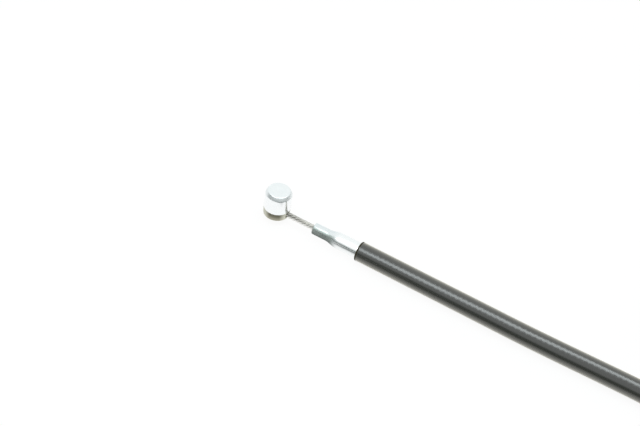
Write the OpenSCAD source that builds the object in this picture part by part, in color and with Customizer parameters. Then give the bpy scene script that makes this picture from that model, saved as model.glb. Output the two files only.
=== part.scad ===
// Control cable of the Bowden kind, for a hand lever. A stranded inner wire slides in a
// sleeved conduit. The lever end has a barrel nipple and a stepped ferrule, and the far
// end has a capped conduit, a screw adjuster with two lock nuts, and an end nipple.
// The spare length lies in a flat tied coil.
// Millimetres. +X runs along the cable, +Z is up, and the origin is the middle of the
// front nipple's foot. The conduit rests on a surface below that foot.

/* [Inner wire] */
// Diameter of the stranded wire
wire_d = 1.5; // [1.2:0.1:1.6]
// Height of the wire's centre above the front nipple's foot
wire_height = 1; // [0.9:0.1:1.1]
// Bare wire between the front nipple and the front ferrule
front_free = 7.7; // [7.6:0.1:12]
// Bare wire between the adjuster and the rear nipple
rear_free = 18; // [12.5:0.5:24]
// Gap around the wire inside the liner
wire_clearance = 0.09; // [0.03:0.01:0.1]
// Travel of the wire out of the front end
pull_out = 12; // [4:0.5:12]
// Travel of the wire into the front end
pull_in = 7.5; // [4:0.5:7.5]

/* [Front nipple] */
// Diameter of the barrel
nipple_d = 6.8; // [6:0.1:8]
// Height of the barrel
nipple_h = 7.4; // [6:0.1:10]
// Width of the bevel round the top
bevel_w = 0.55; // [0.2:0.05:0.8]
// Height of the bevel round the top
bevel_h = 1; // [0.4:0.1:1.4]
// Height of the foot below the parting groove
foot_h = 2.05; // [1.9:0.05:2.4]
// Width and depth of the parting groove
groove = 0.1; // [0.05:0.05:0.2]
// Casting draft that narrows the foot, on the radius
foot_draft = 0.1; // [0.05:0.05:0.2]
// Diameter of the casting dimple in the top
dimple_d = 1.6; // [1:0.1:2.4]
// Depth of the casting dimple
dimple_depth = 0.25; // [0.1:0.05:0.5]
// Depth of metal behind the end of the wire
blind_wall = 1.2; // [0.8:0.1:1.6]

/* [Front ferrule] */
// Diameter of the narrow tip
tip_d = 3; // [2.8:0.1:3.2]
// Length of the narrow tip
tip_len = 4.4; // [3:0.1:6]
// Length of the cone
cone_len = 2.3; // [1.5:0.1:3]
// Diameter of the sleeve
sleeve_d = 4.1; // [4:0.05:4.2]
// Length of the sleeve in front of the jacket
sleeve_len = 6.1; // [4:0.1:8]
// Diameter of the skirt inside the jacket
skirt_d = 4; // [3.9:0.05:4.05]
// Length of the skirt inside the jacket
skirt_len = 8; // [5:0.5:10]
// Solid length between the cone and the conduit's end
shoulder_len = 1.5; // [1:0.1:2.5]

/* [Conduit] */
// Diameter over the jacket
jacket_d = 5; // [4.8:0.1:5.2]
// Diameter over the steel conduit
conduit_d = 3.5; // [3.2:0.1:3.6]
// Diameter over the liner
liner_d = 2.2; // [2.1:0.05:2.4]
// Gap between parts that are pushed together
seat_gap = 0.02; // [0.01:0.01:0.04]

/* [Rear ferrule] */
// Diameter of the cap
cap_d = 6.2; // [5.9:0.1:6.5]
// Depth of conduit inside the cap
cap_depth = 10; // [6:0.5:12]
// Thickness of the cap's end
cap_end = 2; // [1:0.1:3]

/* [Adjuster] */
// Diameter of the fluted head
head_d = 9; // [8.5:0.1:10]
// Depth of the socket that takes the cap
socket_depth = 6; // [4:0.5:8]
// Thickness of metal at the bottom of the socket
head_floor = 2; // [1.5:0.1:3]
// Gap around the cap in its socket
turn_clearance = 0.08; // [0.03:0.01:0.1]
// Number of flutes round the head
flutes = 18; // [12:1:24]
// Radius of a flute
flute_r = 0.45; // [0.3:0.05:0.6]
// Diameter of the screw
screw_d = 6; // [5.8:0.1:6]
// Length of the screw
screw_len = 28; // [24:0.5:34]
// Diameter of the wire's way through the screw
screw_bore_d = 2.4; // [2:0.1:3]

/* [Lock nuts and washers] */
// Size across the flats of a nut
nut_flats = 10; // [9.6:0.1:10.2]
// Thickness of a nut
nut_h = 3.2; // [2.5:0.1:4]
// Gap between a nut and the screw
thread_clearance = 0.06; // [0.03:0.01:0.1]
// Diameter of a washer
washer_d = 12; // [11.8:0.1:12.4]
// Diameter of a washer's hole
washer_hole_d = 6.4; // [6.3:0.1:6.8]
// Thickness of a washer
washer_t = 1.6; // [1:0.1:2]
// Space between the head and the inner nut
nut_set_back = 3; // [2.95:0.05:4]
// Space between the washers, for the bracket
bracket_gap = 3; // [2.9:0.1:5]

/* [Rear nipple] */
// Diameter of the end nipple
end_nipple_d = 5.5; // [4.5:0.1:6.5]
// Length of the end nipple
end_nipple_len = 8; // [5:0.5:10]
// Bevel at each end of the nipple
end_bevel = 0.5; // [0.2:0.1:0.8]

/* [Coil tie] */
// Width of the strap
strap_w = 3; // [2:0.5:5]
// Thickness of the strap
strap_t = 0.7; // [0.5:0.1:1]
// Size of the strap's locking head
lock_size = 4.6; // [4:0.2:6]

/* [Hidden] */
$fn = 96;
TUBE_SIDES = 12;
FACE_GAP = 0.05; // between faces that turn on each other
OVERRUN = 1; // how far a cut or a join runs past a face

liner_bore_d = wire_d + 2 * wire_clearance;
ferrule_bore_d = wire_d + 0.2;
wire_start_x = blind_wall - nipple_d / 2;

// Stations along the front end
tip_x = nipple_d / 2 + front_free;
cone_x = tip_x + tip_len;
sleeve_x = cone_x + cone_len;
conduit_x = sleeve_x + shoulder_len;
jacket_x = sleeve_x + sleeve_len;
skirt_x = jacket_x + skirt_len;

// The cable's way over the surface, each point as [x, y, height over the wire's centre].
// The middle of the coil's turns lies on a circle, and the run meets its outer turn.
RUN_ROUTE = [
    [60, 0, 0], [68, 0, 0], [78, 0.2, 0], [88, 0.5, 0],
    [98, 0.7, 0], [107, 0.5, 0], [115, 0.1, 0], [123, 0, 0]
];
COIL_CENTRE = [123, 27.5];
COIL_R = 25;
outer_turn_r = COIL_R + jacket_d / 2;
inner_turn_r = COIL_R - jacket_d / 2;

// The last half of the inner turn climbs over the outer one, and leaves along +X.
rear_lift = (washer_d - jacket_d) / 2;
CLIMB_TURN = 0.5; // share of a turn that climbs
CLIMB_STEPS = 9;
CLIMB_TOP = 4.5;
CLIMB_CREST = 1.2; // extra height where the turns cross
CLIMB_HASTE = 1.35; // how much sooner than the end of the climb its height is reached
climb_route = [
    for (i = [0:CLIMB_STEPS - 1])
        let (u = i / CLIMB_STEPS, angle = -90 - 360 * CLIMB_TURN * (1 - u))
            let (r = inner_turn_r + (COIL_R - inner_turn_r) * ease(u))
                [
                    COIL_CENTRE.x + r * cos(angle),
                    COIL_CENTRE.y + r * sin(angle),
                    CLIMB_TOP * ease(min(1, u * CLIMB_HASTE)) + CLIMB_CREST * sin(180 * u)
                ]
];
REAR_ROUTE = [
    [123, 2.5, CLIMB_TOP], [129, 2.5, 4.95], [134, 2.5, 5.1], [137, 2.5, 4.9],
    [140, 2.5, 4.45], [143, 2.5, 3.95], [145.5, 2.5, 3.57],
    [147, 2.5, rear_lift], [148, 2.5, rear_lift]
];
rear_start = REAR_ROUTE[len(REAR_ROUTE) - 1];
front_straight_x = RUN_ROUTE[0].x;

// Stations along the rear end
CAP_START = 0.3; // of the straight conduit before its cap
cap_x = rear_start.x + CAP_START;
conduit_end_x = cap_x + cap_depth;
cap_end_x = conduit_end_x + cap_end;
head_x = cap_end_x + FACE_GAP - socket_depth;
screw_x = cap_end_x + FACE_GAP + head_floor;
screw_end_x = screw_x + screw_len;
inner_nut_x = screw_x + nut_set_back;
inner_washer_x = inner_nut_x + nut_h + FACE_GAP;
outer_washer_x = inner_washer_x + washer_t + bracket_gap;
outer_nut_x = outer_washer_x + washer_t + FACE_GAP;
end_nipple_x = screw_end_x + rear_free;

function ease(u) = u * u * (3 - 2 * u);
function unit(v) = v / norm(v);
function heading(route, i) =
    unit(route[min(i + 1, len(route) - 1)] - route[max(i - 1, 0)]);
function ring_points(route, i, r) =
    let (ahead = heading(route, i), side = unit(cross([0, 0, 1], ahead)), up = cross(ahead, side))
        [
            for (k = [0:TUBE_SIDES - 1])
                let (angle = 360 * k / TUBE_SIDES)
                    route[i] + r * (cos(angle) * side + sin(angle) * up)
        ];

// A closed tube of diameter d that follows a route given over the wire's centre
module swept_tube(route, d) {
    last = TUBE_SIDES * (len(route) - 1);
    translate([0, 0, wire_height])
        polyhedron(
            points = [for (i = [0:len(route) - 1]) each ring_points(route, i, d / 2)],
            faces = concat(
                [[for (k = [0:TUBE_SIDES - 1]) k]],
                [[for (k = [TUBE_SIDES - 1:-1:0]) last + k]],
                [
                    for (i = [0:len(route) - 2], k = [0:TUBE_SIDES - 1])
                        let (a = i * TUBE_SIDES + k, b = i * TUBE_SIDES + (k + 1) % TUBE_SIDES)
                            each [
                                [a, a + TUBE_SIDES, b + TUBE_SIDES],
                                [a, b + TUBE_SIDES, b]
                            ]
                ]
            )
        );
}

// Inside these, a part's own Z lies along the cable
module on_front_axis(x = 0) {
    translate([x, 0, wire_height]) rotate([0, 90, 0]) children();
}

module on_rear_axis(x = 0) {
    translate([x, rear_start.y, wire_height + rear_lift]) rotate([0, 90, 0]) children();
}

module rod(d, length, bevel = 0) {
    if (bevel > 0)
        rotate_extrude()
            polygon([
                [0, 0], [d / 2 - bevel, 0], [d / 2, bevel], [d / 2, length - bevel],
                [d / 2 - bevel, length], [0, length]
            ]);
    else
        cylinder(d = d, h = length);
}

module pipe(d, bore, length, bevel = 0) {
    difference() {
        rod(d, length, bevel);
        translate([0, 0, -OVERRUN]) cylinder(d = bore, h = length + 2 * OVERRUN);
    }
}

module front_nipple() {
    r = nipple_d / 2;
    color("gainsboro")
        difference() {
            rotate_extrude()
                polygon([
                    [0, 0], [r - foot_draft, 0], [r, foot_h - groove / 2], [r - groove, foot_h],
                    [r, foot_h + groove / 2], [r, nipple_h - bevel_h],
                    [r - bevel_w, nipple_h], [0, nipple_h]
                ]);
            on_front_axis(wire_start_x)
                cylinder(d = wire_d + 2 * seat_gap, h = nipple_d);
            translate([0, 0, nipple_h - dimple_depth])
                cylinder(d1 = dimple_d / 2, d2 = dimple_d, h = dimple_depth + 0.001);
        }
}

module front_wire() {
    color("darkgray")
        on_front_axis(wire_start_x)
            rod(wire_d, front_straight_x - pull_in - FACE_GAP - wire_start_x);
}

module front_ferrule() {
    color("silver")
        on_front_axis()
            difference() {
                rotate_extrude()
                    polygon([
                        [0, tip_x], [tip_d / 2, tip_x], [tip_d / 2, cone_x],
                        [sleeve_d / 2, sleeve_x], [sleeve_d / 2, jacket_x],
                        [skirt_d / 2, jacket_x], [skirt_d / 2, skirt_x], [0, skirt_x]
                    ]);
                translate([0, 0, tip_x - OVERRUN]) cylinder(d = ferrule_bore_d, h = conduit_x);
                translate([0, 0, conduit_x])
                    cylinder(d = conduit_d + 2 * seat_gap, h = skirt_x - conduit_x + OVERRUN);
            }
}

module front_jacket() {
    color("#2b2d2b")
        on_front_axis(jacket_x)
            difference() {
                rod(jacket_d, front_straight_x - jacket_x);
                translate([0, 0, -OVERRUN])
                    cylinder(d = skirt_d + 2 * seat_gap, h = OVERRUN + skirt_len + seat_gap);
                cylinder(d = conduit_d + 2 * seat_gap, h = front_straight_x);
            }
}

module front_conduit() {
    color("dimgray")
        on_front_axis(conduit_x)
            pipe(conduit_d, liner_d + 2 * seat_gap, front_straight_x - conduit_x);
}

module front_liner() {
    color("white")
        on_front_axis(conduit_x)
            pipe(liner_d, liner_bore_d, front_straight_x - conduit_x);
}

module cable_run() {
    color("#2b2d2b") swept_tube(RUN_ROUTE, jacket_d);
}

module cable_coil() {
    color("#2b2d2b")
        translate([COIL_CENTRE.x, COIL_CENTRE.y, wire_height])
            rotate_extrude()
                union() {
                    for (r = [inner_turn_r, outer_turn_r])
                        translate([r, 0]) circle(d = jacket_d);
                    translate([inner_turn_r, -jacket_d / 2])
                        square([outer_turn_r - inner_turn_r, jacket_d]);
                }
}

module strap_outline(grow) {
    for (side = [-1, 1])
        translate([side * jacket_d / 2, 0]) circle(d = jacket_d + 2 * grow);
    square([jacket_d, jacket_d + 2 * grow], center = true);
}

module coil_tie() {
    color("#1c1c1c")
        translate([COIL_CENTRE.x + COIL_R, COIL_CENTRE.y + strap_w / 2, wire_height + strap_t])
            rotate([90, 0, 0])
                difference() {
                    union() {
                        linear_extrude(strap_w) strap_outline(strap_t);
                        translate([-lock_size / 2, jacket_d / 2, (strap_w - lock_size) / 2])
                            cube([lock_size, lock_size * 0.7, lock_size]);
                    }
                    translate([0, 0, -lock_size])
                        linear_extrude(3 * lock_size) strap_outline(0);
                }
}

module rear_run() {
    color("#2b2d2b") swept_tube(concat(climb_route, REAR_ROUTE), jacket_d);
}

module rear_jacket() {
    color("#2b2d2b")
        on_rear_axis(rear_start.x)
            pipe(jacket_d, conduit_d + 2 * seat_gap, conduit_end_x - rear_start.x);
}

module rear_conduit() {
    color("dimgray")
        on_rear_axis(rear_start.x)
            pipe(conduit_d, liner_d + 2 * seat_gap, conduit_end_x - rear_start.x);
}

module rear_liner() {
    color("white")
        on_rear_axis(rear_start.x)
            pipe(liner_d, liner_bore_d, conduit_end_x - rear_start.x);
}

module rear_ferrule() {
    color("silver")
        on_rear_axis(cap_x)
            difference() {
                rod(cap_d, cap_depth + cap_end, bevel = 0.4);
                translate([0, 0, -OVERRUN])
                    cylinder(d = jacket_d + 2 * seat_gap, h = OVERRUN + cap_depth);
                cylinder(d = ferrule_bore_d, h = cap_depth + cap_end + OVERRUN);
            }
}

module adjuster_screw() {
    color("lightsteelblue")
        on_rear_axis()
            difference() {
                union() {
                    translate([0, 0, head_x]) rod(head_d, screw_x - head_x, bevel = 0.5);
                    translate([0, 0, screw_x - OVERRUN])
                        rod(screw_d, screw_len + OVERRUN, bevel = 0.5);
                }
                translate([0, 0, head_x - OVERRUN])
                    cylinder(d = cap_d + 2 * turn_clearance, h = OVERRUN + socket_depth);
                translate([0, 0, head_x]) cylinder(d = screw_bore_d, h = screw_end_x);
                for (k = [0:flutes - 1])
                    rotate([0, 0, 360 * k / flutes])
                        translate([head_d / 2, 0, head_x - OVERRUN])
                            cylinder(r = flute_r, h = screw_x - head_x + 2 * OVERRUN, $fn = 24);
            }
}

module lock_nut(x) {
    color("silver")
        on_rear_axis(x)
            difference() {
                intersection() {
                    rotate([0, 0, 30]) cylinder(d = nut_flats / cos(30), h = nut_h, $fn = 6);
                    rod(nut_flats / cos(30), nut_h, bevel = 0.45);
                }
                translate([0, 0, -OVERRUN])
                    cylinder(d = screw_d + 2 * thread_clearance, h = nut_h + 2 * OVERRUN);
            }
}

module washer(x) {
    color("gainsboro") on_rear_axis(x) pipe(washer_d, washer_hole_d, washer_t, bevel = 0.15);
}

module inner_lock_nut() {
    lock_nut(inner_nut_x);
}

module inner_washer() {
    washer(inner_washer_x);
}

module outer_washer() {
    washer(outer_washer_x);
}

module outer_lock_nut() {
    lock_nut(outer_nut_x);
}

module rear_wire() {
    start = rear_start.x + pull_out + FACE_GAP;
    color("darkgray")
        on_rear_axis(start)
            rod(wire_d, end_nipple_x + end_nipple_len - blind_wall - start);
}

module rear_nipple() {
    color("gainsboro")
        on_rear_axis(end_nipple_x)
            difference() {
                rod(end_nipple_d, end_nipple_len, bevel = end_bevel);
                translate([0, 0, -OVERRUN])
                    cylinder(d = wire_d + 2 * seat_gap, h = OVERRUN + end_nipple_len - blind_wall);
            }
}

front_nipple();
front_wire();
front_ferrule();
front_jacket();
front_conduit();
front_liner();
cable_run();
cable_coil();
coil_tie();
rear_run();
rear_jacket();
rear_conduit();
rear_liner();
rear_ferrule();
adjuster_screw();
inner_lock_nut();
inner_washer();
outer_washer();
outer_lock_nut();
rear_wire();
rear_nipple();
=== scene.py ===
# %% [markdown]
# # A Bowden cable, from its lever end to its adjuster
#
# A Bowden cable pulls through a bent tube: a stranded wire slides inside a jacketed conduit.
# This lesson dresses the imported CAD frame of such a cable. Each piece gets its own mesh and a
# finish that follows how the real piece was made, and each rides on its CAD body.
# The CAD frame stays fixed, so every place below is written in the frame's own millimetres.

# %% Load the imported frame
import math

import bmesh
import bpy
from mathutils import Matrix, Vector


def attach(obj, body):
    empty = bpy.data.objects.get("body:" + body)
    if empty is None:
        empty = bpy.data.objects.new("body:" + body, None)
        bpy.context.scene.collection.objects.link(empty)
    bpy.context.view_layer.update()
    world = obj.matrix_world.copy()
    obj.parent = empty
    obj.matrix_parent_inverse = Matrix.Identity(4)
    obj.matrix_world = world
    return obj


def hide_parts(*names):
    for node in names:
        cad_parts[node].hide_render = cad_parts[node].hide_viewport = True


MM = 0.001
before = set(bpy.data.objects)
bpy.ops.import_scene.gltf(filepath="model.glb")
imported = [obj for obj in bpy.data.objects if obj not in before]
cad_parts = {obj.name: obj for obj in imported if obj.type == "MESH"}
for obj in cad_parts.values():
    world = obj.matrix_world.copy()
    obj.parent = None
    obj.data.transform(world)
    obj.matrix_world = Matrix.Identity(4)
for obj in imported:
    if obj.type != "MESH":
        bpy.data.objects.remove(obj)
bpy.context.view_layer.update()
scene = bpy.context.scene

# %% [markdown]
# ## Helpers for node trees
#
# Materials, the world and the geometry trees are all node trees, so one small function serves
# them all: it adds a node, sets its properties and input values, and links what feeds it.
# Colours are written as sRGB hex, as a paint chart gives them, and turned to linear once here.
# A grain or a pitch is written in millimetres, and turned to a pattern's scale once here.

# %% Node and colour helpers
A, B = 6, 7  # the two colour inputs of a Mix node, by their place


def linear(hex_colour):
    """The linear RGBA of an sRGB hex colour."""
    parts = [int(hex_colour[i : i + 2], 16) / 255 for i in (1, 3, 5)]
    return [c / 12.92 if c <= 0.04045 else ((c + 0.055) / 1.055) ** 2.4 for c in parts] + [1]


def every(size):
    """A pattern's scale, for a grain or pitch in mm: how many of them fit in a metre."""
    return 1 / (size * MM)


def connect(tree, node, links):
    """Links what feeds each input. A node given as the source gives its first output in use."""
    for key, source in links.items():
        if isinstance(source, bpy.types.Node):
            source = next(output for output in source.outputs if output.enabled)
        tree.links.new(source, node.inputs[key])


def add(tree, kind, settings=None, links=None):
    """Adds a node. A setting is a property or an input's value, and a link feeds an input."""
    node = tree.nodes.new(kind)
    for key, value in (settings or {}).items():
        if isinstance(key, str) and hasattr(node, key):
            setattr(node, key, value)
        else:
            node.inputs[key].default_value = value
    connect(tree, node, links or {})
    return node


def empty_tree(holder):
    """Switches the nodes of a material or world on, and clears them."""
    holder.use_nodes = True
    holder.node_tree.nodes.clear()
    return holder.node_tree


def new_finish(name, **constants):
    """A material with a Principled shader. Returns it, its tree, its shader and its coordinates."""
    material = bpy.data.materials.new(name)
    tree = empty_tree(material)
    settings = {key.replace("_", " "): value for key, value in constants.items()}
    shader = add(tree, "ShaderNodeBsdfPrincipled", settings)
    add(tree, "ShaderNodeOutputMaterial", links={"Surface": shader})
    return material, tree, shader, add(tree, "ShaderNodeTexCoord").outputs["Object"]


print("helpers ready")

# %% [markdown]
# ## The camera
#
# The wire, the ferrule and the jacket share one straight axis, and the jacket's width is known.
# That is enough to solve for the lens and the viewpoint: the camera stands on the rear side of
# the nipple, looks down at 43 degrees, and is turned 10 degrees about its own line of sight.

# %% Camera
AZIMUTH, ELEVATION, ROLL = (math.radians(angle) for angle in (23.589, 42.574, 10.221))
DISTANCE = 291.758 * MM
TARGET = Vector((8.959, 6.677, 0)) * MM
LENS_MM, SENSOR_MM = 64.70, 36

forward = Vector((
    -math.sin(AZIMUTH) * math.cos(ELEVATION),
    math.cos(AZIMUTH) * math.cos(ELEVATION),
    -math.sin(ELEVATION),
))
level = Vector((math.cos(AZIMUTH), math.sin(AZIMUTH), 0))
upright = level.cross(forward)
right = math.cos(ROLL) * level + math.sin(ROLL) * upright
up = math.cos(ROLL) * upright - math.sin(ROLL) * level

lens = bpy.data.cameras.new("camera")
lens.lens, lens.sensor_width, lens.sensor_fit = LENS_MM, SENSOR_MM, "HORIZONTAL"
lens.clip_start = 0.005
camera = bpy.data.objects.new("camera", lens)
camera.matrix_world = Matrix.Translation(TARGET - DISTANCE * forward) @ Matrix(
    (right, up, -forward)
).transposed().to_4x4()
scene.collection.objects.link(camera)
scene.camera = camera
scene.view_settings.view_transform = "Standard"
print("camera at", [round(c, 4) for c in camera.matrix_world.translation])

# %% [markdown]
# ## The cord's route
#
# The conduit is about 0.45 m long, and the camera sees its first 75 mm. The rest is put away as
# for storage: a straight run, two turns side by side, and a climb over the outer turn to the far
# end's fittings. A route is a list of points. A Catmull-Rom curve passes through each of them,
# so the straight stretches stay straight and the turns stay round.

# %% Points of the route
JACKET_R = 2.5
WIRE_Z = 1.0  # height of the wire's centre, from which the route's heights count
JACKET_START, JACKET_END = 23.9, 158.3
STRAIGHT = [(JACKET_START, 0, 0), (33, 0, 0), (42, 0, 0), (51, 0, 0)]
RUN = [
    (60, 0, 0), (68, 0, 0), (78, 0.2, 0), (88, 0.5, 0), (98, 0.7, 0), (107, 0.5, 0), (115, 0.1, 0),
]
REAR = [
    (123, 2.5, 4.5), (129, 2.5, 4.95), (134, 2.5, 5.1), (137, 2.5, 4.9), (140, 2.5, 4.45),
    (143, 2.5, 3.95), (145.5, 2.5, 3.57), (147, 2.5, 3.5), (148, 2.5, 3.5), (153, 2.5, 3.5),
    (JACKET_END, 2.5, 3.5),
]
COIL_X, COIL_Y = 123, 27.5
OUTER_TURN, INNER_TURN, MIDDLE_TURN = 27.5, 22.5, 25
TURNS, POINTS_PER_TURN = 2, 48
INWARDS_FROM, CLIMB_FROM = 0.62, 1.5  # turns after which the cord moves inwards, and climbs
CLIMB, CLIMB_PACE, CLIMB_ARCH = 4.5, 1.35, 1.2  # it is up before the turn ends, and arches
STRAP = 0.7  # thickness of the coil tie, which lifts both turns where it passes under them
TIED_AT, TIED_OVER = (0.25, 1.25), 0.11  # turns at which the tie passes, and how far it lifts
SPAN_STEPS = 3  # points of the smooth curve to each span of the route


def ease(share):
    """A share from 0 to 1 that starts and ends gently."""
    share = min(1, max(0, share))
    return share * share * (3 - 2 * share)


def coil_point(turn):
    """The point of the coil after so many turns, counted from its start nearest the run."""
    inwards = ease((turn - INWARDS_FROM) / (1 - INWARDS_FROM))
    radius = OUTER_TURN - (OUTER_TURN - INNER_TURN) * inwards
    height = STRAP * max(ease(1 - abs(turn - tie) / TIED_OVER) for tie in TIED_AT)
    if turn > CLIMB_FROM:
        climb = (turn - CLIMB_FROM) / (TURNS - CLIMB_FROM)
        radius = INNER_TURN + (MIDDLE_TURN - INNER_TURN) * ease(climb)
        height = CLIMB * ease(CLIMB_PACE * climb) + CLIMB_ARCH * math.sin(math.pi * climb)
    angle = (turn - 0.25) * math.tau  # a quarter turn back, so that it starts along the run
    return (COIL_X + radius * math.cos(angle), COIL_Y + radius * math.sin(angle), height)


def smooth_through(points, steps):
    """Catmull-Rom: points on a smooth curve through the given ones, some steps to each span."""
    points = [Vector(p) for p in points]
    points = [2 * points[0] - points[1], *points, 2 * points[-1] - points[-2]]
    curve = []
    for a, b, c, d in zip(points, points[1:], points[2:], points[3:]):
        for k in range(steps):
            t = k / steps
            curve.append(
                0.5 * (2 * b + (c - a) * t + (2 * a - 5 * b + 4 * c - d) * t**2
                       + (3 * b - a - 3 * c + d) * t**3)
            )
    return [*curve, points[-2]]


coil = [coil_point(i / POINTS_PER_TURN) for i in range(TURNS * POINTS_PER_TURN)]
route = smooth_through([*STRAIGHT, *RUN, *coil, *REAR], SPAN_STEPS)
cord_path = [(p + Vector((0, 0, WIRE_Z))) * MM for p in route]

# %% [markdown]
# ## The jacket's mesh
#
# The jacket is an extruded PVC tube. A ring of points is carried along the route, first along
# the outside from the front lip to the end, and then back along the bore, so the wall is real
# and closed. Its UV map is in metres, around and along, so a pattern can follow the bends.

# %% Mesh helpers
SAME_POINT = 1e-7  # points nearer to each other, in metres, are one


def ring_faces(rings, sides):
    """The quads between each ring of points and the next, and from the last ring to the first."""
    return [
        (i * sides + k, i * sides + (k + 1) % sides,
         (i + 1) % rings * sides + (k + 1) % sides, (i + 1) % rings * sides + k)
        for i in range(rings) for k in range(sides)
    ]


def make_object(name, vertices, faces, uv=None):
    """An object at the origin, from points in metres, with a UV map if each point has its place."""
    mesh = bpy.data.meshes.new(name)
    mesh.from_pydata(vertices, [], faces)
    if uv:
        layer = mesh.uv_layers.new(name="surface")
        for loop in mesh.loops:
            layer.data[loop.index].uv = uv[loop.vertex_index]
    obj = bpy.data.objects.new(name, mesh)
    scene.collection.objects.link(obj)
    return obj


def settle_shading(obj, degrees=35):
    """Recalculates the normals outwards, and shades smooth across the blunt edges only."""
    shape = bmesh.new()
    shape.from_mesh(obj.data)
    bmesh.ops.remove_doubles(shape, verts=shape.verts, dist=SAME_POINT)
    bmesh.ops.recalc_face_normals(shape, faces=shape.faces)
    shape.to_mesh(obj.data)
    shape.free()
    obj.data.shade_smooth()
    obj.data.set_sharp_from_angle(angle=math.radians(degrees))
    return obj


print("mesh helpers ready")

# %% Jacket tube
SIDES = 48
SKIRT_BORE_R, CONDUIT_BORE_R, SKIRT_DEPTH = 2.02, 1.77, 8.0
LIP, LIP_STEPS = 0.2, 4  # rounding of the cut lip
CUT_BAND, FLARE = 0.42, 0.05  # the shear bruises the lip this far back, and flares it
BAND_END = 1.4 * CUT_BAND  # a second ring behind the band keeps the skin beyond it straight
CLEAR = 0.05  # rings of the bore stay this far from the step in it
ROUND = math.tau * JACKET_R * MM  # the way round the outside, in metres


def route_frames(path):
    """Each point of a path, with the two directions that cross it there."""
    frames = []
    for i, point in enumerate(path):
        ahead = (path[min(i + 1, len(path) - 1)] - path[max(i - 1, 0)]).normalized()
        side = Vector((0, 0, 1)).cross(ahead).normalized()
        frames.append((point, side, ahead.cross(side)))
    return frames


def jacket_rings():
    """Centre, cross directions, radius and length along, for each ring of the jacket's wall."""
    frames = route_frames(cord_path)
    along = [0.0]
    for a, b in zip(cord_path, cord_path[1:]):
        along.append(along[-1] + (b - a).length)
    start, side, rise = frames[0]
    ahead = Vector((1, 0, 0))
    rings = []
    for k in range(LIP_STEPS + 1):
        angle = math.pi / 2 * k / LIP_STEPS
        depth = LIP * (1 - math.sin(angle)) * MM
        radius = JACKET_R - LIP * (1 - math.cos(angle))
        rings.insert(0, (start + depth * ahead, side, rise, radius, depth))
    rings[-1] = (*rings[-1][:3], JACKET_R + FLARE, rings[-1][4])
    for depth in (CUT_BAND * MM, BAND_END * MM):
        rings.append((start + depth * ahead, side, rise, JACKET_R, depth))
    rings += [(p, s, r, JACKET_R, d) for (p, s, r), d in zip(frames[1:], along[1:])]
    back = [(p, s, r, CONDUIT_BORE_R, d) for (p, s, r), d in zip(frames, along)]
    deep = [ring for ring in reversed(back) if ring[4] > (SKIRT_DEPTH + CLEAR) * MM]
    step = start + SKIRT_DEPTH * MM * ahead
    mouth = [
        (step, side, rise, CONDUIT_BORE_R, SKIRT_DEPTH * MM),
        (step, side, rise, SKIRT_BORE_R, SKIRT_DEPTH * MM),
        (start, side, rise, SKIRT_BORE_R, 0),
    ]
    return rings + deep + mouth


rings = jacket_rings()
vertices, uv = [], []
for centre, side, rise, radius, along in rings:
    for k in range(SIDES):
        angle = math.tau * k / SIDES - math.pi / 2
        vertices.append(centre + radius * MM * (math.cos(angle) * side + math.sin(angle) * rise))
        uv.append((ROUND * k / SIDES, along))
jacket = make_object("jacket", vertices, ring_faces(len(rings), SIDES), uv)
settle_shading(jacket, degrees=60)
for face in jacket.data.polygons:  # the last face of a ring ends at the whole way round, not at 0
    face_us = [uv[v][0] for v in face.vertices]
    for loop, u in zip(face.loop_indices, face_us):
        if max(face_us) - min(face_us) > ROUND / 2 and u == 0:
            jacket.data.uv_layers["surface"].data[loop].uv.x = ROUND
print("jacket:", len(jacket.data.polygons), "faces")

# %% The nodes that the jacket replaces
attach(jacket, "housing")
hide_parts("front_jacket", "cable_run", "cable_coil", "rear_run", "rear_jacket")
print("jacket rides on the housing")

# %% [markdown]
# ## The studio
#
# The cable lies on a white table in a light tent. Shiny metal shows what stands around it, so
# the surroundings are part of the finish: a bright tent above, a white table below, and a dark
# band at the horizon that draws an edge along every round metal part. A strip light overhead
# draws the long highlight on the jacket.

# %% Table
TABLE_Z = WIRE_Z - JACKET_R
TABLE_REACH = 3.0  # in metres, from its middle to each side
CARD_GLOW = 0.92  # share of what the camera sees of the table that is plain white
corners = ((-1, -1), (1, -1), (1, 1), (-1, 1))
table = make_object(
    "table", [(x * TABLE_REACH, y * TABLE_REACH, TABLE_Z * MM) for x, y in corners], [(0, 1, 2, 3)]
)
paper = bpy.data.materials.new("white_card")
tree = empty_tree(paper)
rays = add(tree, "ShaderNodeLightPath").outputs
seen = add(tree, "ShaderNodeMath", {"operation": "MAXIMUM"},
           {0: rays["Is Camera Ray"], 1: rays["Is Transmission Ray"]})
share = add(tree, "ShaderNodeMath", {"operation": "MULTIPLY", 1: CARD_GLOW}, {0: seen})
share = add(tree, "ShaderNodeMath", {"operation": "MAXIMUM"}, {0: rays["Is Glossy Ray"], 1: share})
# A grey patch before the ferrule is painted shade on the table, and only reflections meet it: it
# draws the ferrule's form in its lower side.
here = add(tree, "ShaderNodeTexCoord").outputs["Object"]
x, y = add(tree, "ShaderNodeSeparateXYZ", links={"Vector": here}).outputs[:2]
beside = add(tree, "ShaderNodeMapRange", {"From Min": 8 * MM, "From Max": 12 * MM}, {"Value": x})
before = add(tree, "ShaderNodeMapRange", {"From Min": -4 * MM, "From Max": -14 * MM}, {"Value": y})
shade = add(tree, "ShaderNodeMath", {"operation": "MULTIPLY"}, {0: beside, 1: before})
shade = add(tree, "ShaderNodeMath", {"operation": "MULTIPLY"},
            {0: shade, 1: rays["Is Glossy Ray"]})
# the painted shade's grey, seen only in reflections
tone = add(tree, "ShaderNodeMix", {"data_type": "RGBA", A: linear("#ffffff"), B: linear("#5b6260")},
           {"Factor": shade})
glow = add(tree, "ShaderNodeEmission", {"Strength": 1.0}, {"Color": tone})
card = add(tree, "ShaderNodeBsdfDiffuse", {"Color": linear("#fbfbfa")})
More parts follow.
